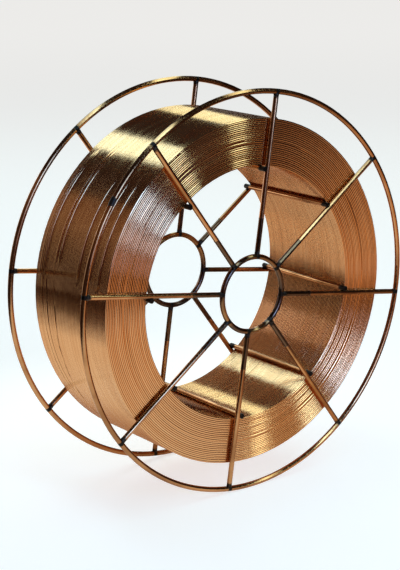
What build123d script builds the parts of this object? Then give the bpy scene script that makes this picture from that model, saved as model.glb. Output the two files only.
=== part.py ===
from build123d import *
import os
from math import cos, hypot, radians, sin, sqrt

# Welding wire spool: a basket welded from round copper-coated wire, with a coil
# of welding wire wound on it in layers. All sizes are millimetres.

# The basket
rim_outer_diameter = 300.0  # over the rim wire
overall_width = 98.0  # along the spindle, over the two rims
bore_diameter = 52.0  # inside the hub rings, for a 50 mm spindle
rim_wire = 4.0
hub_wire = 4.0
spoke_wire = 3.8
crossbar_wire = 3.8
hub_land_width = 1.2  # flat that the sizing mandrel leaves inside a hub ring
spoke_count = 8
first_spoke_angle = -8.2  # degrees from level to the first spoke
crossbar_radius = 92.0  # spool axis to crossbar axis, measured along the spoke
weld_set_down = 0.6  # how far a crossbar is pressed into a spoke by its weld
crossbar_edge = 0.4  # rounded edge of a cropped crossbar end

# The coil
wire_diameter = 1.4
layer_count = 25
layer_pitch = 1.38  # layer upon layer, as they show on the ends
coil_end_gap = 0.4  # between an end of the coil and the spokes
coil_bore_gap = 0.1  # between the coil and the crossbars it is wound on

# Worked out from the sizes above
rim_radius = (rim_outer_diameter - rim_wire) / 2
bore_radius = bore_diameter / 2
hub_radius = bore_radius + sqrt((hub_wire / 2) ** 2 - (hub_land_width / 2) ** 2)
flange_offset = (overall_width - rim_wire) / 2
spoke_step = 360 / spoke_count
crossbar_offset = (spoke_wire + crossbar_wire) / 2 - weld_set_down
crossbar_length = 2 * flange_offset + spoke_wire
coil_width = 2 * flange_offset - spoke_wire - 2 * coil_end_gap
coil_bore_radius = hypot(crossbar_radius, crossbar_offset) + crossbar_wire / 2 + coil_bore_gap
coil_radius = coil_bore_radius + wire_diameter + (layer_count - 1) * layer_pitch
turn_count = int(coil_width / wire_diameter)
turn_pitch = coil_width / turn_count
turn_depth = wire_diameter / 2

# The spool stands on its rims. In this plane x and y span a flange, and z runs along the spindle.
spool = Plane.XZ
section = Plane(spool.origin, x_dir=spool.x_dir, z_dir=-spool.y_dir)  # x is radius, y is along the spindle
spindle = Axis(spool.origin, spool.z_dir)
flanges = {"front": flange_offset, "back": -flange_offset}

os.makedirs("parts", exist_ok=True)


def write(builder, name):
    builder.part.label = name
    export_step(builder.part, f"parts/{name}.step")


def direction(angle):
    return spool.x_dir * cos(radians(angle)) + spool.y_dir * sin(radians(angle))


def groove(half_width, half_height):
    Polygon((-half_width, 0), (0, -half_height), (half_width, 0), (0, half_height), mode=Mode.SUBTRACT)


# Two flanges: a rim, a hub ring and straight spokes, coped to seat on both rings
spokes = {}
for side, offset in flanges.items():
    with BuildPart() as rim:
        with BuildSketch(section):
            with Locations((rim_radius, offset)):
                Circle(rim_wire / 2)
        revolve(axis=spindle)
    write(rim, f"{side}_rim")

    with BuildPart() as hub_ring:
        with BuildSketch(section):
            with Locations((hub_radius, offset)):
                Circle(hub_wire / 2)
            with Locations((bore_radius / 2, offset)):
                Rectangle(bore_radius, hub_wire, mode=Mode.SUBTRACT)
        revolve(axis=spindle)
    write(hub_ring, f"{side}_hub_ring")

    for number in range(spoke_count):
        along = direction(first_spoke_angle + number * spoke_step)
        foot = Plane(spool.offset(offset).origin, x_dir=spool.z_dir, z_dir=along)
        with BuildPart() as spoke:
            with BuildSketch(foot.offset(hub_radius)):
                Circle(spoke_wire / 2)
            extrude(amount=rim_radius - hub_radius)
            add(hub_ring.part, mode=Mode.SUBTRACT)
            add(rim.part, mode=Mode.SUBTRACT)
        write(spoke, f"{side}_spoke_{number + 1}")
        spokes[side, number] = spoke.part

# Crossbars: one beside each pair of spokes, notched where the welds press it into them
for number in range(spoke_count):
    angle = first_spoke_angle + number * spoke_step
    beside = direction(angle) * crossbar_radius + direction(angle + 90) * crossbar_offset
    lower_end = Plane(spool.offset(-crossbar_length / 2).origin + beside, x_dir=spool.x_dir, z_dir=spool.z_dir)
    with BuildPart() as crossbar:
        with BuildSketch(lower_end):
            Circle(crossbar_wire / 2)
        extrude(amount=crossbar_length)
        fillet(crossbar.edges().filter_by(GeomType.CIRCLE), crossbar_edge)
        for side in flanges:
            add(spokes[side, number], mode=Mode.SUBTRACT)
    write(crossbar, f"crossbar_{number + 1}")

# The coil: one turned solid, its layers ridges round both ends, its turns ridges round the outside and the bore
with BuildPart() as coil:
    with BuildSketch(section):
        with Locations(((coil_bore_radius + coil_radius) / 2, 0)):
            Rectangle(coil_radius - coil_bore_radius, coil_width)
            with GridLocations(layer_pitch, coil_width, layer_count - 1, 2):
                groove(layer_pitch / 2, turn_depth)
            with GridLocations(coil_radius - coil_bore_radius, turn_pitch, 2, turn_count - 1):
                groove(turn_depth, turn_pitch / 2)
    revolve(axis=spindle)
write(coil, "wire_coil")
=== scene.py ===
"""Looks of the welding wire spool: the finishes of its basket, the wound turns of its coil and its welds."""
import logging
import math
import random
from dataclasses import dataclass, field
from enum import Enum

import bmesh
import bpy
from bmesh.types import BMesh, BMVert
from bpy.types import Material, Node, NodeSocket, NodeTree, Object
from mathutils import Matrix, Vector, noise


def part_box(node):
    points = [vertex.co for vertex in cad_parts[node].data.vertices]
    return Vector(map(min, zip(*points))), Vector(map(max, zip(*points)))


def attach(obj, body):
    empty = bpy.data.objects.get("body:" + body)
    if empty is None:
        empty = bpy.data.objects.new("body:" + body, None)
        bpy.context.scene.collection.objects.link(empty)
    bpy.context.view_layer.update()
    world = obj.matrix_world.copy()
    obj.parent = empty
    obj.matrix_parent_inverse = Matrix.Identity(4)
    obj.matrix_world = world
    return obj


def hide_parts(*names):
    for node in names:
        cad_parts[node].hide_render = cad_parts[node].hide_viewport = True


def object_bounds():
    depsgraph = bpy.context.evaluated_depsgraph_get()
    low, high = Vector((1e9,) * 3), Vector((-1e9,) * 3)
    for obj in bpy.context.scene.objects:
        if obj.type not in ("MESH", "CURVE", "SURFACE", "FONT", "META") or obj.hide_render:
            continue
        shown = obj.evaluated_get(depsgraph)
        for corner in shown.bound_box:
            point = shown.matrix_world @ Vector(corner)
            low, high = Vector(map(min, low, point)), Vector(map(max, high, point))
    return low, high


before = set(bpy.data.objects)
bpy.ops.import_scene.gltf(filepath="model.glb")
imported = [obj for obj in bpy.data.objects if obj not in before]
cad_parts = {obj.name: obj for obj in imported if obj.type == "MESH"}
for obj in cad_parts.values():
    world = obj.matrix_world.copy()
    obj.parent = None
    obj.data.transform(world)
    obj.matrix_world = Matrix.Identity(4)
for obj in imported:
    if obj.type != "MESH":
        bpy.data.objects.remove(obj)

LOG = logging.getLogger("spool")
MM = 0.001
DEG = math.radians(1)
BODY = "root"
CAD_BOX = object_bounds()
Colour = tuple[float, float, float]
Value = NodeSocket | float
Place = tuple[NodeSocket, NodeSocket, NodeSocket]
Span = tuple[float, float]


class Side(Enum):
    """The two flanges, by the direction of each along the spindle."""

    FRONT = -1
    BACK = 1

    @property
    def word(self) -> str:
        """The flange's word in the names of nodes and pieces."""
        return self.name.lower()


class Member(Enum):
    """The kinds of wire that the basket is welded from."""

    RIM = "rim"
    HUB = "hub_ring"
    SPOKE = "spoke"
    CROSSBAR = "crossbar"


@dataclass(frozen=True)
class SpoolSizes:
    """Sizes of the spool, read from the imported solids, in metres and radians."""

    coil_radius: float
    bore_radius: float
    coil_half_width: float
    rim_radius: float
    hub_radius: float
    flange_offset: float
    rim_wire_radius: float
    spoke_radius: float
    spoke_count: int
    first_spoke_angle: float
    crossbar_centres: tuple[Vector, ...]
    floor_height: float

    @classmethod
    def from_frame(cls) -> "SpoolSizes":
        """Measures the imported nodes.

        Returns:
            The sizes that the looks are built from.
        """
        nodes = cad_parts
        coil_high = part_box("wire_coil")[1]
        bore = min(math.hypot(v.co.x, v.co.z) for v in nodes["wire_coil"].data.vertices)
        rim_low, rim_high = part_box("front_rim")
        rim_wire = (rim_high.y - rim_low.y) / 2
        hub_low, hub_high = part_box("front_hub_ring")
        spoke_low, spoke_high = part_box("front_spoke_1")
        spoke_middle = (spoke_low + spoke_high) / 2
        count = sum(name.startswith("front_spoke_") for name in nodes)
        bars = [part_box(f"crossbar_{number + 1}") for number in range(count)]
        return cls(
            coil_radius=coil_high.x,
            bore_radius=bore,
            coil_half_width=coil_high.y,
            rim_radius=rim_high.x - rim_wire,
            hub_radius=hub_high.x - (hub_high.y - hub_low.y) / 2,
            flange_offset=-(rim_low.y + rim_high.y) / 2,
            rim_wire_radius=rim_wire,
            spoke_radius=(spoke_high.y - spoke_low.y) / 2,
            spoke_count=count,
            first_spoke_angle=math.atan2(spoke_middle.z, spoke_middle.x),
            crossbar_centres=tuple((low + high) / 2 for low, high in bars),
            floor_height=CAD_BOX[0][2],
        )

    def spoke_angle(self, number: int) -> float:
        """Angle of a spoke round the spindle, from +X towards +Z."""
        return self.first_spoke_angle + number * math.tau / self.spoke_count


def radial(angle: float) -> Vector:
    """Direction from the spindle at an angle, from +X towards +Z."""
    return Vector((math.cos(angle), 0.0, math.sin(angle)))


class Shader:
    """Adds and links the nodes of one material or of the world."""

    def __init__(self, tree: NodeTree) -> None:
        """Starts on an emptied tree."""
        self.tree = tree
        tree.nodes.clear()

    def node(self, kind: str, **settings: object) -> Node:
        """Adds a node.

        Args:
            kind: The node's type name.
            settings: Attributes to set on the node.

        Returns:
            The new node.
        """
        made = self.tree.nodes.new(kind)
        for key, value in settings.items():
            setattr(made, key, value)
        return made

    def feed(self, socket: NodeSocket, value: "Value | Colour") -> None:
        """Links a socket into an input, or sets the input to a plain value.

        Args:
            socket: The input.
            value: A socket, a number or a colour.
        """
        if isinstance(value, NodeSocket):
            self.tree.links.new(value, socket)
        elif isinstance(value, tuple) and len(value) == 3 and socket.type == "RGBA":
            socket.default_value = (*value, 1.0)
        else:
            socket.default_value = value

    def result(self, kind: str, *values: "Value | Colour", **settings: object) -> NodeSocket:
        """Adds a node and feeds its inputs in order.

        Args:
            kind: The node's type name.
            values: What its inputs take.
            settings: Attributes to set on the node.

        Returns:
            The node's first output.
        """
        made = self.node(kind, **settings)
        for socket, value in zip(made.inputs, values):
            self.feed(socket, value)
        return made.outputs[0]

    def math(self, operation: str, *values: Value) -> NodeSocket:
        """Works out a sum or another operation on numbers."""
        return self.result("ShaderNodeMath", *values, operation=operation)

    def ramp(self, value: Value, low: float, high: float, start: float = 0.0, end: float = 1.0) -> NodeSocket:
        """Eases a value: it gives start at low and below, and end at high and above."""
        ends = (low, high, start, end)
        return self.result("ShaderNodeMapRange", value, *ends, interpolation_type="SMOOTHSTEP")

    def mix(self, factor: Value, first: "NodeSocket | Colour", second: "NodeSocket | Colour") -> NodeSocket:
        """Mixes two colours by a factor.

        Args:
            factor: 0 for the first colour, 1 for the second.
            first: A colour or its socket.
            second: A colour or its socket.

        Returns:
            The mixed colour.
        """
        made = self.node("ShaderNodeMix", data_type="RGBA", clamp_factor=True)
        self.feed(made.inputs[0], factor)
        self.feed(made.inputs[6], first)
        self.feed(made.inputs[7], second)
        return made.outputs[2]

    def noise(self, place: NodeSocket, scale: float, detail: float = 2.0) -> NodeSocket:
        """Adds a noise pattern.

        Args:
            place: The coordinates that it reads.
            scale: How many cells there are to one unit of the coordinates.
            detail: How many finer octaves are added.

        Returns:
            The pattern, from 0 to 1.
        """
        made = self.node("ShaderNodeTexNoise")
        self.feed(made.inputs["Vector"], place)
        made.inputs["Scale"].default_value = scale
        made.inputs["Detail"].default_value = detail
        return made.outputs["Fac"]

    def place(self) -> tuple[NodeSocket, NodeSocket, NodeSocket, NodeSocket]:
        """Reads the Object coordinates.

        Returns:
            The coordinates as a vector, and their x, y and z.
        """
        coordinates = self.node("ShaderNodeTexCoord").outputs["Object"]
        split = self.node("ShaderNodeSeparateXYZ")
        self.feed(split.inputs[0], coordinates)
        return coordinates, *split.outputs

    def distance(self, x: NodeSocket, z: NodeSocket) -> NodeSocket:
        """Distance from the spindle."""
        squares = self.math("ADD", self.math("MULTIPLY", x, x), self.math("MULTIPLY", z, z))
        return self.math("SQRT", squares)

    def bump(self, height: NodeSocket, distance: float) -> NodeSocket:
        """Turns a height pattern into a normal.

        Args:
            height: The pattern, from 0 to 1.
            distance: How high its top is, in metres.

        Returns:
            The bumped normal.
        """
        made = self.node("ShaderNodeBump")
        made.inputs["Distance"].default_value = distance
        self.feed(made.inputs["Height"], height)
        return made.outputs[0]

    def metal(self, colour: Value, rough: Value, normal: Value | None = None, metallic: float = 1.0) -> None:
        """Ends the tree with a metal surface.

        Args:
            colour: Its colour.
            rough: Its roughness.
            normal: Its bumped normal, where it has one.
            metallic: How much of a metal it is.
        """
        made = self.node("ShaderNodeBsdfPrincipled")
        made.inputs["Metallic"].default_value = metallic
        self.feed(made.inputs["Base Color"], colour)
        self.feed(made.inputs["Roughness"], rough)
        if normal is not None:
            self.feed(made.inputs["Normal"], normal)
        self.surface(made.outputs[0])

    def surface(self, shader: NodeSocket) -> None:
        """Links a shader to the output.

        Args:
            shader: What the material or the world shows.
        """
        in_world = isinstance(self.tree.id_data, bpy.types.World)
        kind = "ShaderNodeOutputWorld" if in_world else "ShaderNodeOutputMaterial"
        self.feed(self.node(kind).inputs["Surface"], shader)


def new_shader(name: str) -> tuple[Material, Shader]:
    """Makes a material with an empty node tree.

    Args:
        name: The material's name.

    Returns:
        The material and its shader.
    """
    material = bpy.data.materials.new(name)
    material.use_nodes = True
    return material, Shader(material.node_tree)


@dataclass(frozen=True)
class Parting:
    """A narrow gap that opens in the top layer and runs aslant over its turns: sunk into the mesh, with shade
    painted along it.
    """

    start: float
    end: float
    start_across: float
    end_across: float
    depth: float = 0.9 * MM
    width: float = 0.5 * MM
    ramp: float = 6 * DEG
    # where the painted shade across the gap begins and where it is full
    shade_from: float = 0.70 * MM
    shade_to: float = 0.25 * MM

    def sink(self, angle: float, across: float) -> float:
        """How far the top layer is sunk at a place.

        Args:
            angle: Angle round the spindle.
            across: Place along the spindle.

        Returns:
            The depth, in metres.
        """
        inside = min(angle - self.start, self.end - angle) / self.ramp
        if inside <= 0:
            return 0.0
        part = (angle - self.start) / (self.end - self.start)
        middle = self.start_across + (self.end_across - self.start_across) * part
        return self.depth * min(inside, 1.0) * math.exp(-((across - middle) / self.width) ** 2)

    def shade(self, shader: Shader, turned: NodeSocket, across: NodeSocket) -> NodeSocket:
        """Works out where shade is painted into the gap.

        Args:
            shader: The winding's shader.
            turned: Angle round the spindle, from -X towards -Z.
            across: Place along the spindle.

        Returns:
            1 in the gap, 0 beside it.
        """
        first = self.start - math.pi
        last = self.end - math.pi
        slope = (self.end_across - self.start_across) / (last - first)
        path = shader.math("MULTIPLY_ADD", turned, slope, self.start_across - first * slope)
        aside = shader.math("ABSOLUTE", shader.math("SUBTRACT", across, path))
        begun = shader.ramp(turned, first, first + self.ramp)
        going = shader.ramp(turned, last, last - self.ramp)
        line = shader.ramp(aside, self.shade_from, self.shade_to)
        return shader.math("MULTIPLY", line, shader.math("MULTIPLY", begun, going))


@dataclass(frozen=True)
class WindingFinish:
    """Bright copper coat of the wound wire, polished, a little different from turn to turn, with shade
    painted into its partings and along lines between groups of bore turns.
    """

    name: str = "winding_copper"
    bright: Colour = (0.80, 0.43, 0.20)
    deep: Colour = (0.72, 0.36, 0.155)
    # painted shade in the partings and along the bore's lines between turn groups
    gap: Colour = (0.22, 0.085, 0.03)
    low_roughness: float = 0.09
    high_roughness: float = 0.15
    noise_span: Span = (0.3, 0.7)
    shade_scale: float = 0.6
    wear_scale: float = 0.37
    wave_length: float = 45 * MM
    parted_depth: float = 3 * MM
    bore_depth: float = 1 * MM
    # painted shade along lines between groups of bore turns, at this pitch and strength
    bore_line_pitch: float = 9.4 * MM
    bore_line_from: float = 0.70 * MM
    bore_line_to: float = 0.20 * MM
    bore_line_shade: float = 0.18

    def painted_gap_shade(self, shader: Shader, coil: "Coil", place: Place) -> NodeSocket:
        """Works out where shade is painted: in the gaps where the wound wire lies apart, and along lines
        between groups of bore turns.

        Args:
            shader: The winding's shader.
            coil: The coil, with the partings of its top layer.
            place: The Object coordinates x, y and z.

        Returns:
            1 where shade is painted into a gap, 0 elsewhere.
        """
        x, y, z = place
        outwards = shader.distance(x, z)
        turned = shader.math("ARCTAN2", shader.math("MULTIPLY", z, -1.0), shader.math("MULTIPLY", x, -1.0))
        dark: Value = 0.0
        for parting in coil.partings:
            dark = shader.math("MAXIMUM", dark, parting.shade(shader, turned, y))
        outside = shader.math("GREATER_THAN", outwards, coil.sizes.coil_radius - self.parted_depth)
        inside = shader.math("LESS_THAN", outwards, coil.sizes.bore_radius + self.bore_depth)
        half_pitch = self.bore_line_pitch / 2
        apart = shader.math("ABSOLUTE", shader.math("WRAP", y, half_pitch, -half_pitch))
        line = shader.ramp(apart, self.bore_line_from, self.bore_line_to, 0.0, self.bore_line_shade)
        parting_shade = shader.math("MULTIPLY", dark, outside)
        return shader.math("ADD", parting_shade, shader.math("MULTIPLY", line, inside))

    def material(self, coil: "Coil") -> Material:
        """Builds the material.

        Args:
            coil: The coil that wears it.

        Returns:
            The material, which changes from one turn to the next.
        """
        material, shader = new_shader(self.name)
        _, x, y, z = shader.place()
        along = shader.math("DIVIDE", y, coil.pitch)
        outwards = shader.math("DIVIDE", shader.distance(x, z), coil.pitch * coil.squeeze)
        turn = shader.math("ADD", along, outwards)
        round_x = shader.math("DIVIDE", x, self.wave_length)
        round_z = shader.math("DIVIDE", z, self.wave_length)
        stretched = shader.result("ShaderNodeCombineXYZ", round_x, turn, round_z)
        shade = shader.noise(stretched, self.shade_scale)
        wear = shader.noise(stretched, self.wear_scale, detail=3.0)
        copper = shader.mix(shader.ramp(shade, *self.noise_span), self.deep, self.bright)
        # mixes in the painted shade of the partings and of the bore's lines
        colour = shader.mix(self.painted_gap_shade(shader, coil, (x, y, z)), copper, self.gap)
        roughness = shader.ramp(wear, *self.noise_span, self.low_roughness, self.high_roughness)
        shader.metal(colour, roughness)
        return material


@dataclass(frozen=True)
class BasketFinish:
    """Glossy, copper-coated basket wire, scorched at its welds, with bare steel inside each spoke's seam."""

    bright: Colour = (0.60, 0.30, 0.13)
    dull: Colour = (0.34, 0.15, 0.06)
    bronze: Colour = (0.36, 0.18, 0.07)
    blued: Colour = (0.07, 0.045, 0.035)
    scorched: Colour = (0.020, 0.016, 0.013)
    steel: Colour = (0.140, 0.080, 0.045)
    low_roughness: float = 0.07
    high_roughness: float = 0.18
    scorched_roughness: float = 0.38
    seam_radius: float = 56.0 * MM
    wire_scorch: float = 5.5 * MM
    ring_scorch: float = 2.0 * MM
    streak_length: float = 30 * MM
    streak_width: float = 1.4 * MM
    grain: float = 0.012 * MM
    patch_span: Span = (0.35, 0.65)
    grain_span: Span = (0.3, 0.7)
    seam_edge: float = 0.5 * MM
    ragged_share: float = 0.5
    burnt_share: float = 0.6

    def scorch(self, shader: Shader, member: Member, sizes: SpoolSizes, place: Place) -> NodeSocket:
        """Works out the distance from the nearest weld, along the wire.

        Args:
            shader: The shader that is being built.
            member: The kind of wire.
            sizes: The spool's sizes.
            place: The Object coordinates x, y and z.

        Returns:
            The distance, in metres.
        """
        x, y, z = place
        if member is Member.CROSSBAR:
            return shader.math("SUBTRACT", sizes.flange_offset, shader.math("ABSOLUTE", y))
        outwards = shader.distance(x, z)
        if member is Member.SPOKE:
            to_rim = shader.math("SUBTRACT", sizes.rim_radius, outwards)
            to_hub = shader.math("SUBTRACT", outwards, sizes.hub_radius)
            return shader.math("MINIMUM", to_rim, to_hub)
        step = math.tau / sizes.spoke_count
        angle = shader.math("SUBTRACT", shader.math("ARCTAN2", z, x), sizes.first_spoke_angle)
        turned = shader.math("WRAP", angle, step / 2, -step / 2)
        return shader.math("MULTIPLY", shader.math("ABSOLUTE", turned), outwards)

    def material(self, member: Member, sizes: SpoolSizes) -> Material:
        """Builds the material of one kind of wire.

        Args:
            member: The kind of wire.
            sizes: The spool's sizes.

        Returns:
            The material, with its scorch marks where that wire is welded.
        """
        material, shader = new_shader(f"basket_{member.value}")
        place, x, y, z = shader.place()
        patches = shader.noise(place, 1 / self.streak_length, detail=4.0)
        grain = shader.noise(place, 1 / self.streak_width)
        dull, bright = (self.blued, self.bronze) if member is Member.HUB else (self.dull, self.bright)
        colour = shader.mix(shader.ramp(patches, *self.patch_span), dull, bright)
        if member is Member.SPOKE:
            outer_edge = self.seam_radius + self.seam_edge
            inside = shader.ramp(shader.distance(x, z), outer_edge, self.seam_radius - self.seam_edge)
            colour = shader.mix(inside, colour, self.steel)
        reach = self.ring_scorch if member in (Member.RIM, Member.HUB) else self.wire_scorch
        edge = shader.math("MULTIPLY", shader.math("SUBTRACT", grain, 0.5), reach * self.ragged_share)
        gap = shader.math("ADD", self.scorch(shader, member, sizes, (x, y, z)), edge)
        burnt = shader.ramp(gap, reach, reach * self.burnt_share)
        colour = shader.mix(burnt, colour, self.scorched)
        clean = shader.ramp(grain, *self.grain_span, self.low_roughness, self.high_roughness)
        rough = shader.ramp(burnt, 0.0, 1.0, 0.0, self.scorched_roughness)
        shader.metal(colour, shader.math("MAXIMUM", clean, rough), shader.bump(grain, self.grain))
        return material


@dataclass(frozen=True)
class WeldFinish:
    """Burnt skin of a resistance weld: near black, with a little brown and a rough, spattered face."""

    name: str = "weld_scale"
    black: Colour = (0.014, 0.011, 0.009)
    brown: Colour = (0.060, 0.034, 0.020)
    metallic: float = 0.7
    low_roughness: float = 0.30
    high_roughness: float = 0.54
    brown_span: Span = (0.4, 0.7)
    rough_span: Span = (0.2, 0.8)
    lump: float = 1.1 * MM
    relief: float = 0.12 * MM

    def material(self) -> Material:
        """Builds the material.

        Returns:
            The material.
        """
        material, shader = new_shader(self.name)
        place = shader.place()[0]
        lumps = shader.noise(place, 1 / self.lump, detail=4.0)
        colour = shader.mix(shader.ramp(lumps, *self.brown_span), self.black, self.brown)
        roughness = shader.ramp(lumps, *self.rough_span, self.low_roughness, self.high_roughness)
        shader.metal(colour, roughness, shader.bump(lumps, self.relief), self.metallic)
        return material


@dataclass(frozen=True)
class FloorCard:
    """A glowing card of painted light on the floor, seen only in the metal's reflections: a rectangle with
    soft edges, turned about the spool.
    """

    colour: Colour
    left: float
    right: float
    front: float
    back: float
    fade: float
    turn: float = 0.0

    def cover(self, shader: Shader, x: NodeSocket, y: NodeSocket) -> NodeSocket:
        """Works out where the card lies.

        Args:
            shader: The floor's shader.
            x: Object coordinate.
            y: Object coordinate.

        Returns:
            1 on the card, 0 off it.
        """
        cosine = math.cos(self.turn)
        sine = math.sin(self.turn)
        across = shader.math("ADD", shader.math("MULTIPLY", x, cosine), shader.math("MULTIPLY", y, sine))
        along = shader.math("SUBTRACT", shader.math("MULTIPLY", y, cosine), shader.math("MULTIPLY", x, sine))
        covered: Value = 1.0
        for place, low, high in ((across, self.left, self.right), (along, self.front, self.back)):
            covered = shader.math("MULTIPLY", covered, shader.ramp(place, low - self.fade, low + self.fade))
            covered = shader.math("MULTIPLY", covered, shader.ramp(place, high + self.fade, high - self.fade))
        return covered


@dataclass(frozen=True)
class FloorFinish:
    """Plain pale floor, lifted to white for the eye, with the spool's shadow on it.

    What the metal mirrors of it is painted light that glows without a lamp: a dark ground with coloured
    cards, each laid over those before it.
    """

    name: str = "pale_floor"
    paint: Colour = (0.585, 0.55, 0.525)
    white: Colour = (0.99, 0.99, 0.97)
    near_lift: float = 0.68
    far_lift: float = 0.82
    far: float = 4.0
    # dark ground of the glowing painted light that the metal mirrors
    beyond: Colour = (0.036, 0.024, 0.020)
    cards: tuple[FloorCard, ...] = (
        FloorCard((0.50, 0.38, 0.28), 0.72, 1.25, -0.75, 0.25, 0.12),
        FloorCard((0.80, 0.86, 0.94), -0.38, 0.12, -0.72, 0.10, 0.22),
        FloorCard((0.98, 0.54, 0.30), 0.12, 0.42, -0.78, -0.43, 0.06),
        FloorCard((0.80, 0.50, 0.29), 0.20, 0.65, -0.36, -0.10, 0.05, -45 * DEG),
        # dark card: painted shade on the mirrored floor just right of the spool
        FloorCard((0.32, 0.21, 0.14), 0.14, 0.30, -0.26, 0.02, 0.04),
        FloorCard((0.88, 0.92, 0.90), -0.36, 0.10, -0.46, 0.80, 0.045, -19 * DEG),
        FloorCard((0.68, 0.46, 0.29), -0.22, 0.32, 0.18, 0.65, 0.05),
        # painted shadow under the spool, on the mirrored floor
        FloorCard((0.50, 0.36, 0.25), -0.115, 0.115, -0.05, 0.12, 0.04),
        FloorCard((0.74, 0.57, 0.40), 0.05, 0.16, -0.20, 0.0, 0.03),
        FloorCard((0.80, 0.66, 0.54), 0.40, 1.10, 0.0, 0.75, 0.05),
        FloorCard((0.72, 0.40, 0.22), 0.58, 0.85, 0.08, 0.38, 0.04, -45 * DEG),
    )

    def material(self) -> Material:
        """Builds the material.

        Returns:
            The material, which looks pale to the camera and shows the metal its glowing cards of painted
            light.
        """
        material, shader = new_shader(self.name)
        _, x, y, _ = shader.place()
        path = shader.node("ShaderNodeLightPath")
        # the metal mirrors glowing painted light here, not the lit floor
        mirrored_light = self.beyond
        for card in self.cards:
            mirrored_light = shader.mix(card.cover(shader, x, y), mirrored_light, card.colour)
        lift = shader.ramp(shader.distance(x, y), 0.0, self.far, self.near_lift, self.far_lift)
        diffuse = shader.result("ShaderNodeBsdfDiffuse", self.paint)
        lifted = shader.math("MULTIPLY", path.outputs["Is Camera Ray"], lift)
        glow = shader.result("ShaderNodeEmission", self.white, lifted)
        seen = shader.result("ShaderNodeAddShader", diffuse, glow)
        mirrored_glow = shader.result("ShaderNodeEmission", mirrored_light)
        shader.surface(shader.result("ShaderNodeMixShader", path.outputs["Is Glossy Ray"], seen, mirrored_glow))
        return material


def add_piece(name: str, mesh: BMesh, material: Material, sharp_angle: float | None = None) -> Object:
    """Turns a finished bmesh into an object at the origin.

    Args:
        name: The piece's name.
        mesh: The shape, which is freed.
        material: Its finish.
        sharp_angle: Edges that turn by more than this stay sharp; None leaves the whole piece smooth.

    Returns:
        The new object.
    """
    bmesh.ops.recalc_face_normals(mesh, faces=mesh.faces)
    for face in mesh.faces:
        face.smooth = True
    data = bpy.data.meshes.new(name)
    mesh.to_mesh(data)
    mesh.free()
    if sharp_angle is not None:
        data.set_sharp_from_angle(angle=sharp_angle)
    data.materials.append(material)
    piece = bpy.data.objects.new(name, data)
    bpy.context.scene.collection.objects.link(piece)
    LOG.info("%s: %d faces", name, len(data.polygons))
    return piece


def hang_on_spool(piece: Object, slot: str, *replaced: str) -> None:
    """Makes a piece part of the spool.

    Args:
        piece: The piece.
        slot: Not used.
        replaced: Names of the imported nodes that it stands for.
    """
    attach(piece, BODY)
    if replaced:
        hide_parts(*replaced)


@dataclass(frozen=True)
class LooseTurn:
    """A stretch of the top layer that rides up on its neighbours."""

    across: float
    start: float
    end: float
    lift: float


@dataclass(frozen=True)
class Ripple:
    """How one turn or layer strays along its way round: a level, a slow wave and a quicker one."""

    SLOW_WAVES = (5, 9)
    QUICK_WAVES = (11, 17)

    level: float
    height: float
    slow: int
    quick: int
    start: float

    @classmethod
    def drawn(cls, draw: random.Random, height: float, level: float = 0.0) -> "Ripple":
        """Draws the waves of a ripple.

        Args:
            draw: Where the numbers come from.
            height: How far the turn strays from its level.
            level: Where it lies on the whole, away from the wire beneath it.

        Returns:
            The ripple.
        """
        slow = draw.randint(*cls.SLOW_WAVES)
        quick = draw.randint(*cls.QUICK_WAVES)
        return cls(level, height, slow, quick, draw.uniform(0, math.tau))

    def at(self, angle: float) -> float:
        """How far the turn stands out at an angle."""
        waves = math.sin(self.slow * angle + self.start) + math.sin(self.quick * angle - self.start) / 2
        return self.level + self.height * waves


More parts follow.
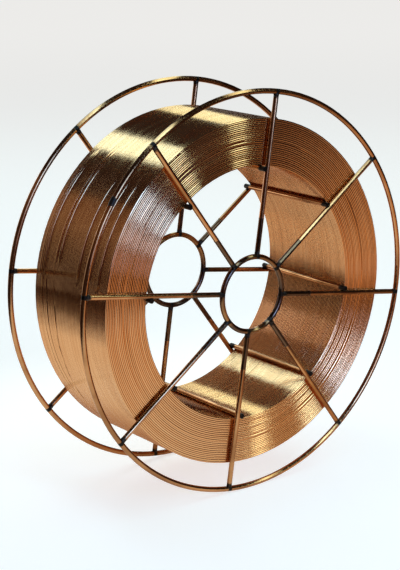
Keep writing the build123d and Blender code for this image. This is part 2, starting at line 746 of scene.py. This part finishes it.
@dataclass
class Coil:
    """The wound wire: turns of its top and bottom layers, and the edges of all its layers on both ends."""

    sizes: SpoolSizes
    finish: WindingFinish = field(default_factory=WindingFinish)
    wire: float = 1.4 * MM
    layer_pitch: float = 1.38 * MM
    spin_steps: int = 100
    outer_sides: int = 5
    bore_sides: int = 4
    end_sides: int = 6
    merge: float = 0.007 * MM
    sharp_angle: float = 70 * DEG
    end_relief: float = 0.30
    turn_wander: float = 0.028 * MM
    bore_wander: float = 0.055 * MM
    layer_wander: float = 0.014 * MM
    layer_sink: float = 0.12 * MM
    layer_jitter: float = 0.10 * MM
    bore_group: tuple[int, int] = (4, 7)
    seed: int = 11
    partings: tuple[Parting, ...] = (
        Parting(176 * DEG, 232 * DEG, 18.4 * MM, 25.8 * MM),
        Parting(172 * DEG, 216 * DEG, 29.6 * MM, 29.2 * MM),
        Parting(174 * DEG, 228 * DEG, 35.2 * MM, 32.4 * MM),
    )
    turns: int = field(init=False)
    layers: int = field(init=False)
    pitch: float = field(init=False)
    squeeze: float = field(init=False)
    material: Material = field(init=False)

    def __post_init__(self) -> None:
        """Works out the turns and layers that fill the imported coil, and makes their finish."""
        width = 2 * self.sizes.coil_half_width
        depth = self.sizes.coil_radius - self.sizes.bore_radius
        self.turns = int(width / self.wire)
        self.pitch = width / self.turns
        self.layers = round((depth - self.wire) / self.layer_pitch) + 1
        self.squeeze = depth / (self.layers * self.pitch)
        self.material = self.finish.material(self)

    def roll(self, mesh: BMesh, corner: BMVert, centre: Vector, angle: float, steps: int) -> BMVert:
        """Draws the outline of one turn by rolling the last point round the wire's centre."""
        made = bmesh.ops.spin(mesh, geom=[corner], cent=centre, axis=(0, 0, 1), angle=angle, steps=steps)
        return next(item for item in made["geom_last"] if isinstance(item, BMVert))

    def section(self, mesh: BMesh) -> None:
        """Draws the closed outline of the coil's section, in the plane of x and y.

        Args:
            mesh: An empty bmesh that takes the outline.
        """
        sizes = self.sizes
        half_wire = self.pitch / 2
        top = sizes.coil_radius - half_wire
        bottom = top - (self.layers - 1) * self.pitch
        first = half_wire - sizes.coil_half_width
        point = mesh.verts.new((top, first - half_wire, 0))
        for turn in range(self.turns):
            centre = Vector((top, first + turn * self.pitch, 0))
            point = self.roll(mesh, point, centre, math.pi, self.outer_sides)
        point = self.end(mesh, point, top, -self.pitch, -first)
        for turn in range(self.turns):
            centre = Vector((bottom, -first - turn * self.pitch, 0))
            point = self.roll(mesh, point, centre, math.pi, self.bore_sides)
        self.end(mesh, point, bottom, self.pitch, first)
        bmesh.ops.remove_doubles(mesh, verts=mesh.verts, dist=self.merge)
        bmesh.ops.translate(mesh, verts=mesh.verts, vec=(-sizes.coil_radius, 0, 0))
        bmesh.ops.scale(mesh, verts=mesh.verts, vec=(self.squeeze, 1, 1))
        bmesh.ops.translate(mesh, verts=mesh.verts, vec=(sizes.coil_radius, 0, 0))
        for vert in mesh.verts:
            if sizes.bore_radius + half_wire < vert.co.x < sizes.coil_radius - half_wire:
                depth = sizes.coil_half_width - abs(vert.co.y)
                vert.co.y = math.copysign(sizes.coil_half_width - depth * self.end_relief, vert.co.y)

    def end(self, mesh: BMesh, point: BMVert, start: float, step: float, across: float) -> BMVert:
        """Draws the layers' edges on one end, layer upon layer.

        Args:
            mesh: The outline so far.
            point: The point that the outline has reached.
            start: Distance of the first layer from the spindle.
            step: From layer to layer.
            across: Place of the outermost turn along the spindle.

        Returns:
            The point that the outline reaches.
        """
        for layer in range(self.layers):
            share = 2 if layer in (0, self.layers - 1) else 1
            centre = Vector((start + layer * step, across, 0))
            point = self.roll(mesh, point, centre, math.pi / share, self.end_sides // share)
        return point

    def bore_ripples(self, draw: random.Random) -> list[Ripple]:
        """Draws the ripples of the bottom layer, whose turns lie in groups.

        Args:
            draw: Where the numbers come from.

        Returns:
            One ripple for each turn.
        """
        ripples: list[Ripple] = []
        while len(ripples) < self.turns:
            shared = Ripple.drawn(draw, self.bore_wander)
            ripples += [shared] * draw.randint(*self.bore_group)
        return ripples[:self.turns]

    def layer_ripple(self, draw: random.Random) -> Ripple:
        """Draws the ripple of one layer's edge, which lies deep on few of the layers."""
        sink = self.layer_sink * draw.random() ** 3
        return Ripple.drawn(draw, self.layer_wander, -sink)

    def wander(self, mesh: BMesh) -> None:
        """Lets each turn and layer stray a little along its way round.

        Args:
            mesh: The spun coil.
        """
        sizes = self.sizes
        draw = random.Random(self.seed)
        outside = [Ripple.drawn(draw, self.turn_wander) for _ in range(self.turns)]
        inside = self.bore_ripples(draw)
        ends = {side: [self.layer_ripple(draw) for _ in range(self.layers)] for side in Side}
        jitter = [draw.uniform(-self.layer_jitter, self.layer_jitter) for _ in range(self.layers)]
        top = sizes.coil_radius - self.pitch
        low = sizes.bore_radius + self.pitch
        edge = sizes.coil_half_width - self.pitch
        for vert in mesh.verts:
            outwards = math.hypot(vert.co.x, vert.co.z)
            angle = math.atan2(vert.co.z, vert.co.x) % math.tau
            turn = min(int((vert.co.y + sizes.coil_half_width) / self.pitch), self.turns - 1)
            if outwards > top:
                sunk = sum(gap.sink(angle, vert.co.y) for gap in self.partings)
                vert.co += radial(angle) * (outside[turn].at(angle) - sunk)
            elif outwards < low:
                vert.co -= radial(angle) * inside[turn].at(angle)
            elif abs(vert.co.y) > edge:
                layer = int((outwards - sizes.bore_radius) / (self.pitch * self.squeeze))
                side = Side.BACK if vert.co.y > 0 else Side.FRONT
                vert.co.y += side.value * ends[side][layer].at(angle)
                vert.co += radial(angle) * jitter[layer]

    def build(self) -> Object:
        """Spins the section into the coil and dresses it.

        Returns:
            The coil.
        """
        mesh = bmesh.new()
        self.section(mesh)
        geometry = list(mesh.verts) + list(mesh.edges)
        bmesh.ops.spin(mesh, geom=geometry, axis=(0, 1, 0), cent=(0, 0, 0), angle=math.tau,
                       steps=self.spin_steps, use_merge=True)
        bmesh.ops.remove_doubles(mesh, verts=mesh.verts, dist=self.merge)
        self.wander(mesh)
        piece = add_piece("wound_turns", mesh, self.material, self.sharp_angle)
        hang_on_spool(piece, "welding_wire", "wire_coil")
        return piece


@dataclass
class LooseTurns:
    """Stretches of wire in the top layer that have ridden up on their neighbours."""

    coil: Coil
    sections: int = 10
    steps_per_radian: float = 26.0
    least_steps: int = 8
    rise: float = 20 * DEG
    dive: float = 9 * DEG
    sunk: float = 0.60
    upright: float = 1.5
    stretches: tuple[LooseTurn, ...] = (
        LooseTurn(-44.0 * MM, 120 * DEG, 172 * DEG, 0.60 * MM),
        LooseTurn(-33.7 * MM, 122 * DEG, 176 * DEG, 1.05 * MM),
        LooseTurn(-23.4 * MM, 122 * DEG, 174 * DEG, 0.85 * MM),
        LooseTurn(-18.2 * MM, 122 * DEG, 176 * DEG, 1.00 * MM),
        LooseTurn(-8.2 * MM, 124 * DEG, 176 * DEG, 1.05 * MM),
        LooseTurn(17.2 * MM, 112 * DEG, 172 * DEG, 1.05 * MM),
        LooseTurn(21.2 * MM, 112 * DEG, 172 * DEG, 0.80 * MM),
        LooseTurn(34.8 * MM, 118 * DEG, 178 * DEG, 0.90 * MM),
        LooseTurn(36.7 * MM, 117 * DEG, 180 * DEG, 1.10 * MM),
        LooseTurn(38.6 * MM, 118 * DEG, 178 * DEG, 1.15 * MM),
    )

    def stretch(self, mesh: BMesh, turn: LooseTurn) -> None:
        """Adds one stretch, swept round the spindle at the height of the top layer.

        Args:
            mesh: The bmesh that takes it.
            turn: Where it lies and how far it stands proud.
        """
        half_wire = self.coil.wire / 2
        radius = self.coil.sizes.coil_radius - self.upright * half_wire
        ring = bmesh.ops.create_circle(mesh, segments=self.sections, radius=half_wire, cap_ends=True)["verts"]
        bmesh.ops.scale(mesh, verts=ring, vec=(self.upright, 1, 1))
        bmesh.ops.translate(mesh, verts=ring, vec=(radius, turn.across, 0))
        bmesh.ops.rotate(mesh, verts=ring, cent=(0, 0, 0), matrix=Matrix.Rotation(-turn.start, 3, "Y"))
        faces = list({face for vert in ring for face in vert.link_faces})
        edges = list({edge for vert in ring for edge in vert.link_edges})
        sweep = turn.end - turn.start
        steps = max(self.least_steps, int(sweep * self.steps_per_radian))
        geometry = ring + edges + faces
        bmesh.ops.spin(mesh, geom=geometry, axis=(0, -1, 0), cent=(0, 0, 0), angle=sweep, steps=steps)

    def build(self) -> Object:
        """Builds all the stretches as one piece.

        Returns:
            The piece.
        """
        whole = bmesh.new()
        sunk = self.sunk * self.coil.wire
        for turn in self.stretches:
            mesh = bmesh.new()
            self.stretch(mesh, turn)
            for vert in mesh.verts:
                angle = math.atan2(vert.co.z, vert.co.x) % math.tau
                inside = min((angle - turn.start) / self.rise, (turn.end - angle) / self.dive)
                ease = min(max(inside, 0.0), 1.0)
                ease = ease * ease * (3 - 2 * ease)
                vert.co += radial(angle) * (ease * (turn.lift + sunk) - sunk)
            data = bpy.data.meshes.new("stretch")
            mesh.to_mesh(data)
            mesh.free()
            whole.from_mesh(data)
            bpy.data.meshes.remove(data)
        piece = add_piece("loose_turns", whole, self.coil.material)
        hang_on_spool(piece, "welding_wire")
        return piece


@dataclass
class Basket:
    """The welded wire basket: finishes of its packed wires, and the relief of its welds."""

    sizes: SpoolSizes
    finish: BasketFinish = field(default_factory=BasketFinish)
    weld_finish: WeldFinish = field(default_factory=WeldFinish)
    rim_weld: float = 2.4 * MM
    hub_weld: float = 2.5 * MM
    rim_weld_proud: float = 0.16 * MM
    hub_weld_proud: float = 0.10 * MM
    rim_seam_angle: float = 145.7 * DEG
    rim_seam: float = 8.0 * MM
    rim_seam_proud: float = 0.18 * MM
    bar_weld: float = 1.3 * MM
    bar_weld_length: float = 1.95 * MM
    seam_length: float = 0.55 * MM
    seam_proud: float = 0.16 * MM
    lump: float = 1.6 * MM
    lump_height: float = 0.22 * MM
    bead_segments: int = 18
    bead_rings: int = 12
    materials: dict[Member, Material] = field(default_factory=dict)

    def dress(self) -> None:
        """Gives each packed wire the finish of its kind."""
        for member in Member:
            material = self.finish.material(member, self.sizes)
            self.materials[member] = material
            for name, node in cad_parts.items():
                if member.value not in name:
                    continue
                node.data.materials.clear()
                node.data.materials.append(material)
                LOG.info("%s: %s", name, material.name)

    def bead(self, mesh: BMesh, centre: Vector, along: Vector, radius: float, length: float) -> None:
        """Adds one lumpy bead round a wire.

        Args:
            mesh: The bmesh that takes it.
            centre: The bead's middle.
            along: Direction of the wire.
            radius: Half the bead's width.
            length: Half the bead's length.
        """
        turn = Vector((0, 0, 1)).rotation_difference(along).to_matrix().to_4x4()
        shape = Matrix.Translation(centre) @ turn @ Matrix.Diagonal((radius, radius, length, 1))
        made = bmesh.ops.create_uvsphere(
            mesh, u_segments=self.bead_segments, v_segments=self.bead_rings, radius=1.0, matrix=shape)
        for vert in made["verts"]:
            away = vert.co - centre
            vert.co += away.normalized() * (noise.noise(vert.co / self.lump) * self.lump_height)

    def spoke_welds(self, meshes: dict[str, BMesh], across: Vector, number: int) -> None:
        """Adds the beads of one spoke.

        Args:
            meshes: The flange's rim welds, hub welds, crossbar welds and spoke seams.
            across: Middle of the flange.
            number: Which spoke.
        """
        sizes = self.sizes
        wire = sizes.spoke_radius
        along = radial(sizes.spoke_angle(number))
        bar = sizes.crossbar_centres[number]
        joint = (Vector((bar.x, 0, bar.z)) + along * bar.dot(along)) / 2
        at_rim = along * (sizes.rim_radius - self.rim_weld)
        at_hub = along * (sizes.hub_radius + self.hub_weld)
        at_seam = along * self.finish.seam_radius
        beads = {
            "rim_welds": (at_rim, wire + self.rim_weld_proud, self.rim_weld),
            "hub_welds": (at_hub, wire + self.hub_weld_proud, self.hub_weld),
            "crossbar_welds": (joint, self.bar_weld, self.bar_weld_length),
            "spoke_seams": (at_seam, wire + self.seam_proud, self.seam_length),
        }
        for name, (place, width, length) in beads.items():
            self.bead(meshes[name], across + place, along, width, length)

    def butt_weld(self, across: Vector) -> BMesh:
        """Builds the bead where the ends of a rim's wire meet.

        Args:
            across: Middle of the flange.

        Returns:
            The bead.
        """
        mesh = bmesh.new()
        away = radial(self.rim_seam_angle)
        round_rim = Vector((-away.z, 0, away.x))
        width = self.sizes.rim_wire_radius + self.rim_seam_proud
        self.bead(mesh, across + away * self.sizes.rim_radius, round_rim, width, self.rim_seam)
        return mesh

    def flange_welds(self, side: Side, scale: Material) -> None:
        """Builds the welds and seams of one flange, and the butt weld of the front rim.

        Args:
            side: Which flange.
            scale: Finish of the welds.
        """
        across = Vector((0, side.value * self.sizes.flange_offset, 0))
        meshes = {name: bmesh.new() for name in ("rim_welds", "hub_welds", "crossbar_welds", "spoke_seams")}
        for number in range(self.sizes.spoke_count):
            self.spoke_welds(meshes, across, number)
        if side is Side.FRONT:
            meshes["rim_seam"] = self.butt_weld(across)
        for name, mesh in meshes.items():
            finish = self.materials[Member.CROSSBAR] if name == "spoke_seams" else scale
            hang_on_spool(add_piece(f"{side.word}_{name}", mesh, finish), "basket_wire")

    def build(self) -> None:
        """Dresses the wires and builds the welds of both flanges."""
        self.dress()
        scale = self.weld_finish.material()
        for side in Side:
            self.flange_welds(side, scale)


@dataclass(frozen=True)
class Panel:
    """A flat soft box that shines towards one point."""

    name: str
    centre: Vector
    target: Vector
    across: Vector
    width: float
    height: float
    radiance: float
    colour: Colour
    spread: float = math.pi

    def hang(self) -> None:
        """Adds the light to the scene, out of the camera's sight."""
        light = bpy.data.lights.new(self.name, "AREA")
        light.shape = "RECTANGLE"
        light.size = self.width
        light.size_y = self.height
        light.spread = self.spread
        # the renderer brightens a narrow beam by this much
        focus = math.tan(self.spread / 2) / (math.tan(self.spread / 2) - self.spread / 2)
        light.energy = self.radiance * math.pi * self.width * self.height / focus
        light.color = self.colour
        away = (self.centre - self.target).normalized()
        across = (self.across - away * self.across.dot(away)).normalized()
        turn = Matrix((across, away.cross(across), away)).transposed().to_4x4()
        lamp = bpy.data.objects.new(self.name, light)
        lamp.matrix_world = Matrix.Translation(self.centre) @ turn
        lamp.visible_camera = False
        bpy.context.scene.collection.objects.link(lamp)


@dataclass(frozen=True)
class BandLight:
    """A soft box bent round the spool, hung where the coil mirrors it to the camera as one straight band."""

    name: str
    band: float
    breadth: float
    radiance: float
    colour: Colour
    start: float = -108 * DEG
    end: float = -70 * DEG
    distance: float = 1.3
    panels: int = 3
    flare: float = 0.0
    front_gain: float = 1.0
    front_end: float = -20 * DEG
    inward: float = 0.0
    forward: float = 0.0
    spread: float = math.pi

    def build(self, coil_radius: float, eye: Vector) -> None:
        """Hangs the panels of the light.

        Args:
            coil_radius: Outside radius of the coil.
            eye: Where the camera stands.
        """
        outwards = radial(self.band)
        along = Vector((-math.sin(self.band), 0, math.cos(self.band)))
        spot = outwards * (coil_radius - self.inward) - Vector((0, self.forward, 0))
        view = (eye - spot).normalized()
        lean = -view.dot(along)
        middle = spot + along * (lean * self.distance)
        reach = math.sqrt(1 - lean * lean) * self.distance
        step = (self.end - self.start) / self.panels
        for number in range(self.panels):
            turn = self.start + (number + 0.5) * step
            centre = middle + (outwards * math.cos(turn) + Vector((0, math.sin(turn), 0))) * reach
            breadth = self.breadth + self.flare * (number + 0.5) / self.panels
            width = breadth * abs(reach * math.cos(turn) + self.distance * view.dot(outwards))
            height = 2 * reach * math.tan(abs(step) / 2)
            name = f"{self.name}_{number + 1}"
            radiance = self.radiance * (self.front_gain if turn < self.front_end else 1.0)
            Panel(name, centre, spot, along, width, height, radiance, self.colour, self.spread).hang()


@dataclass(frozen=True)
class LowLight(BandLight):
    """A narrow beam from low in front, which only the bottom of the near end mirrors."""

    start: float = -93 * DEG
    end: float = -114 * DEG
    distance: float = 0.9
    inward: float = 17 * MM
    forward: float = 45 * MM
    spread: float = 20 * DEG


@dataclass
class Studio:
    """The floor, the surroundings, the soft boxes and the camera."""

    sizes: SpoolSizes
    azimuth: float = -37.75 * DEG
    elevation: float = 14.36 * DEG
    distance: float = 1165.1 * MM
    aim_right: float = -9.35 * MM
    aim_up: float = -2.57 * MM
    focal_pixels: float = 1546.5
    frame_height_pixels: float = 570.0
    sensor: float = 36.0
    floor_finish: FloorFinish = field(default_factory=FloorFinish)
    floor_radius: float = 14.0
    floor_sides: int = 96
    lights: tuple[BandLight, ...] = (
        BandLight("left_strip", 122.0 * DEG, 8.2 * DEG, 3.2, (0.47, 0.80, 1.0), start=-88 * DEG, end=70 * DEG,
                  distance=1.7, panels=7, flare=5.5 * DEG, front_gain=1.55),
        BandLight("right_strip", 94.8 * DEG, 9.5 * DEG, 2.4, (0.68, 1.0, 0.96), start=-78 * DEG, end=70 * DEG,
                  distance=1.7, panels=7, flare=5 * DEG, front_gain=1.4),
        BandLight("front_fill", 141.5 * DEG, 14.6 * DEG, 9.4, (0.20, 0.42, 1.0)),
        BandLight("front_half", 151.7 * DEG, 9.6 * DEG, 4.8, (0.25, 0.42, 0.90)),
        BandLight("front_glow", 160 * DEG, 9.6 * DEG, 1.3, (0.37, 0.42, 0.78)),
        LowLight("left_low", 300.5 * DEG, 8.5 * DEG, 9.5, (0.47, 0.80, 1.0)),
        LowLight("right_low", 276 * DEG, 8.0 * DEG, 7.5, (0.62, 0.95, 1.0)),
        LowLight("front_low", 321.5 * DEG, 14.6 * DEG, 22, (0.25, 0.42, 0.85),
                 start=-92 * DEG, end=-102 * DEG, panels=1),
        LowLight("half_low", 332 * DEG, 9.0 * DEG, 14, (0.30, 0.42, 0.75),
                 start=-92 * DEG, end=-102 * DEG, panels=1),
    )
    bore_lights: tuple[Panel, ...] = (
        Panel("bore_card", Vector((0, 0.24, 0.05)), target=Vector((0, 0, -0.09)), across=Vector((1, 0, 0)),
              width=0.55, height=0.22, radiance=0.60, colour=(1.0, 0.95, 0.85)),
        Panel("bore_strip", Vector((-0.047, 0.20, 0.052)), target=Vector((0.08, 0, -0.048)),
              across=Vector((0.5, 0, 0.866)), width=0.055, height=0.11, radiance=2.6,
              colour=(0.78, 0.88, 1.0)),
    )
    low_sky: Colour = (0.15, 0.098, 0.07)
    high_sky: Colour = (0.028, 0.020, 0.020)
    sky_band: float = 143 * DEG
    sky_edge: float = 0.05
    fade_start: float = 0.14
    fade_end: float = 0.56
    faded: float = 0.12
    backdrop: Colour = (0.80, 0.79, 0.77)

    def build(self) -> None:
        """Builds the floor, the world, the camera and the lights."""
        self.floor()
        eye = self.camera()
        self.world(eye)
        for light in self.lights:
            light.build(self.sizes.coil_radius, eye)
        for panel in self.bore_lights:
            panel.hang()
        bpy.context.scene.view_settings.view_transform = "Standard"

    def floor(self) -> None:
        """Lays the floor that the spool stands on."""
        mesh = bmesh.new()
        bmesh.ops.create_circle(mesh, cap_ends=True, segments=self.floor_sides, radius=self.floor_radius)
        bmesh.ops.translate(mesh, verts=mesh.verts, vec=(0, 0, self.sizes.floor_height))
        add_piece("floor", mesh, self.floor_finish.material())

    def world(self, eye: Vector) -> None:
        """Lights the surroundings: a warm wall low on the left, and a dim room; the eye sees a pale backdrop.

        Args:
            eye: Where the camera stands.
        """
        world = bpy.data.worlds.new("studio")
        world.use_nodes = True
        shader = Shader(world.node_tree)
        along = Vector((-math.sin(self.sky_band), 0, math.cos(self.sky_band)))
        edge = -eye.normalized().dot(along)
        reach = shader.node("ShaderNodeVectorMath", operation="DOT_PRODUCT")
        shader.feed(reach.inputs[0], shader.node("ShaderNodeTexCoord").outputs["Generated"])
        reach.inputs[1].default_value = along
        leftwards = reach.outputs["Value"]
        left = shader.ramp(leftwards, edge - self.sky_edge, edge + self.sky_edge)
        fade = shader.ramp(leftwards, edge + self.fade_start, edge + self.fade_end, 1.0, self.faded)
        lit = shader.math("MULTIPLY", left, fade)
        seen = shader.node("ShaderNodeLightPath").outputs["Is Camera Ray"]
        sky = shader.mix(lit, self.high_sky, self.low_sky)
        shader.surface(shader.result("ShaderNodeBackground", shader.mix(seen, sky, self.backdrop)))
        bpy.context.scene.world = world

    def camera(self) -> Vector:
        """Sets the camera at the photograph's viewing angle.

        Returns:
            Where it stands.
        """
        level = math.cos(self.elevation)
        x = math.sin(self.azimuth) * level
        y = -math.cos(self.azimuth) * level
        away = Vector((x, y, math.sin(self.elevation)))
        right = Vector((math.cos(self.azimuth), math.sin(self.azimuth), 0))
        up = away.cross(right)
        data = bpy.data.cameras.new("camera")
        data.sensor_fit = "VERTICAL"
        data.sensor_height = self.sensor
        data.lens = self.focal_pixels / self.frame_height_pixels * self.sensor
        data.clip_end = 4 * self.floor_radius
        camera = bpy.data.objects.new("camera", data)
        place = away * self.distance + right * self.aim_right + up * self.aim_up
        camera.matrix_world = Matrix.Translation(place) @ Matrix((right, up, away)).transposed().to_4x4()
        bpy.context.scene.collection.objects.link(camera)
        bpy.context.scene.camera = camera
        return place


def main() -> None:
    """Builds the spool's looks and the studio round it."""
    logging.basicConfig(level=logging.INFO, format="%(message)s")
    sizes = SpoolSizes.from_frame()
    coil = Coil(sizes)
    coil.build()
    LooseTurns(coil).build()
    Basket(sizes).build()
    Studio(sizes).build()


if __name__ == "__main__":
    main()
